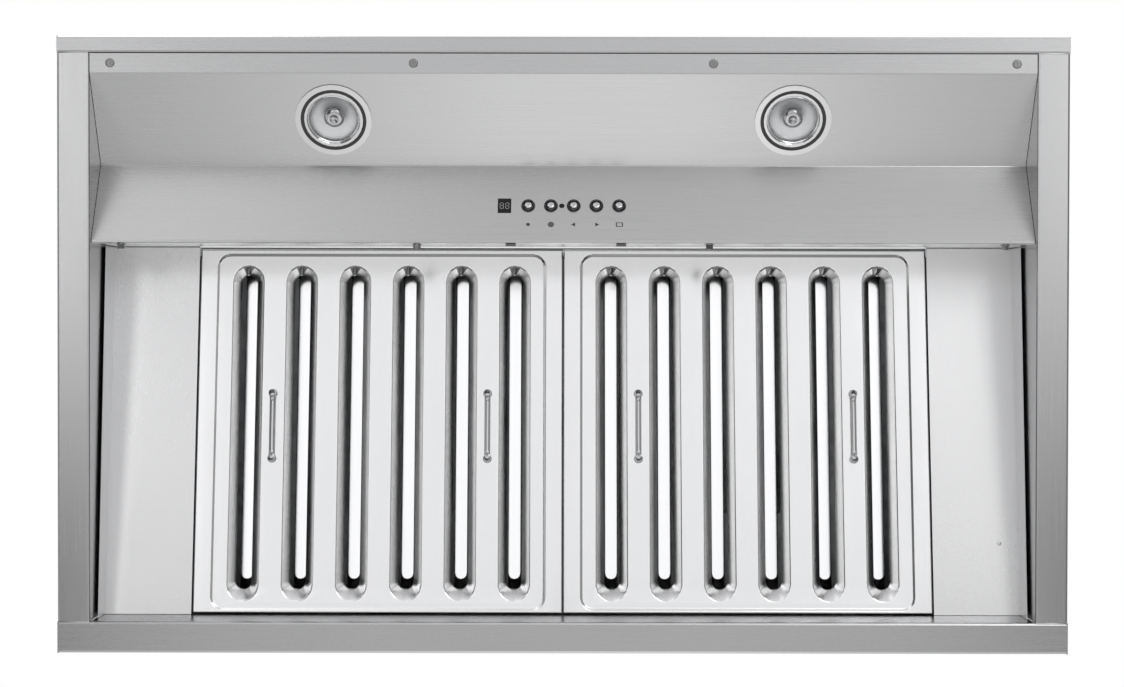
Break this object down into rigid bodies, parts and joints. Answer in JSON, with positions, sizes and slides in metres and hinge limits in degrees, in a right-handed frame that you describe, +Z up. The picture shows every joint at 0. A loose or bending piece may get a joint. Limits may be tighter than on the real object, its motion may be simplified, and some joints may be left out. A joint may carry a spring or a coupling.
{
  "type": "range hood insert",
  "caption": "Steel hood liner for a cabinet, with a folded front console holding lamps and buttons, hinged baffle filters, side fillers and a boxed blower with a round duct collar.",
  "frame": {"origin": "centre of the underside of the rim, the face that a cook sees from below", "axes": "+X along the width, -Y to the front (the console side), +Z up"},
  "size_m": [0.902, 0.55, 0.345],
  "materials": {
    "brushed_steel": "long brush grain across the width, satin",
    "filter_steel": "smooth, nearly polished",
    "chrome": "polished",
    "galvanised_steel": "zinc coated, dull with a fine spangle",
    "dark_steel": "oiled or phosphated, dull",
    "black_plastic": "moulded, satin",
    "grey_plastic": "moulded, satin",
    "circuit_board": "varnished board",
    "lamp_glass": "clear, polished"
  },
  "bodies": {
    "housing": {"front_wall": "brushed_steel", "rear_wall": "brushed_steel", "left_wall": "brushed_steel", "right_wall": "brushed_steel", "console_panel": "brushed_steel", "filler_panel_left": "brushed_steel", "filler_panel_right": "brushed_steel", "lamp_bezel_left": "chrome", "lamp_bezel_right": "chrome", "lamp_reflector_left": "chrome", "lamp_reflector_right": "chrome", "top_deck": "galvanised_steel", "console_ledge": "galvanised_steel", "lamp_can_left": "galvanised_steel", "lamp_can_right": "galvanised_steel", "filter_rail": "galvanised_steel", "blower_wrap": "galvanised_steel", "blower_end_left": "galvanised_steel", "blower_end_right": "galvanised_steel", "duct_collar": "galvanised_steel", "scroll_wrap": "galvanised_steel", "scroll_cheek_left": "galvanised_steel", "scroll_cheek_right": "galvanised_steel", "wiring_box": "galvanised_steel", "wiring_box_cover": "galvanised_steel", "hanger_rod": "dark_steel", "filter_catch_left": "dark_steel", "filter_catch_right": "dark_steel", "damper_rod": "dark_steel", "motor_bracket": "dark_steel", "motor_body": "dark_steel", "display_window": "black_plastic", "sensor_window": "black_plastic", "control_box": "black_plastic", "cable_bushing": "black_plastic", "capacitor": "grey_plastic", "control_board": "circuit_board", "lamp_glass_left": "lamp_glass", "lamp_glass_right": "lamp_glass", "lamp_bulb_left": "lamp_glass", "lamp_bulb_right": "lamp_glass"},
    "filter_left": {"filter_plate_left": "filter_steel", "filter_baffle_left": "filter_steel", "filter_handle_left_left": "chrome", "filter_handle_left_right": "chrome"},
    "filter_right": {"filter_plate_right": "filter_steel", "filter_baffle_right": "filter_steel", "filter_handle_right_left": "chrome", "filter_handle_right_right": "chrome"},
    "fan_wheel": {"blower_wheel": "galvanised_steel"},
    "damper_left": {"damper_flap_left": "galvanised_steel"},
    "damper_right": {"damper_flap_right": "galvanised_steel"},
    "button_1_body": {"button_1": "chrome"},
    "button_2_body": {"button_2": "chrome"},
    "button_3_body": {"button_3": "chrome"},
    "button_4_body": {"button_4": "chrome"},
    "button_5_body": {"button_5": "chrome"}
  },
  "joints": [
    {"name": "filter_hinge_left", "type": "hinge", "parent": "housing", "child": "filter_left", "pos_m": [0, -0.087, 0.09869], "axis": [-1, 0, 0], "range_deg": [0, 75]},
    {"name": "filter_hinge_right", "type": "hinge", "parent": "housing", "child": "filter_right", "pos_m": [0, -0.087, 0.09869], "axis": [-1, 0, 0], "range_deg": [0, 75]},
    {"name": "fan_spin", "type": "hinge", "parent": "housing", "child": "fan_wheel", "pos_m": [0, 0, 0.225], "axis": [1, 0, 0], "continuous": true},
    {"name": "damper_hinge_left", "type": "hinge", "parent": "housing", "child": "damper_left", "pos_m": [0, 0.053, 0.3041], "axis": [0, 1, 0], "range_deg": [0, 80]},
    {"name": "damper_hinge_right", "type": "hinge", "parent": "housing", "child": "damper_right", "pos_m": [0, 0.053, 0.3041], "axis": [0, -1, 0], "range_deg": [0, 80]},
    {"name": "button_1_press", "type": "slide", "parent": "housing", "child": "button_1_body", "axis": [0, 0.4986, 0.8668], "range_m": [0, 0.0015], "stiffness_N_per_m": 350},
    {"name": "button_2_press", "type": "slide", "parent": "housing", "child": "button_2_body", "axis": [0, 0.4986, 0.8668], "range_m": [0, 0.0015], "stiffness_N_per_m": 350},
    {"name": "button_3_press", "type": "slide", "parent": "housing", "child": "button_3_body", "axis": [0, 0.4986, 0.8668], "range_m": [0, 0.0015], "stiffness_N_per_m": 350},
    {"name": "button_4_press", "type": "slide", "parent": "housing", "child": "button_4_body", "axis": [0, 0.4986, 0.8668], "range_m": [0, 0.0015], "stiffness_N_per_m": 350},
    {"name": "button_5_press", "type": "slide", "parent": "housing", "child": "button_5_body", "axis": [0, 0.4986, 0.8668], "range_m": [0, 0.0015], "stiffness_N_per_m": 350}
  ]
}
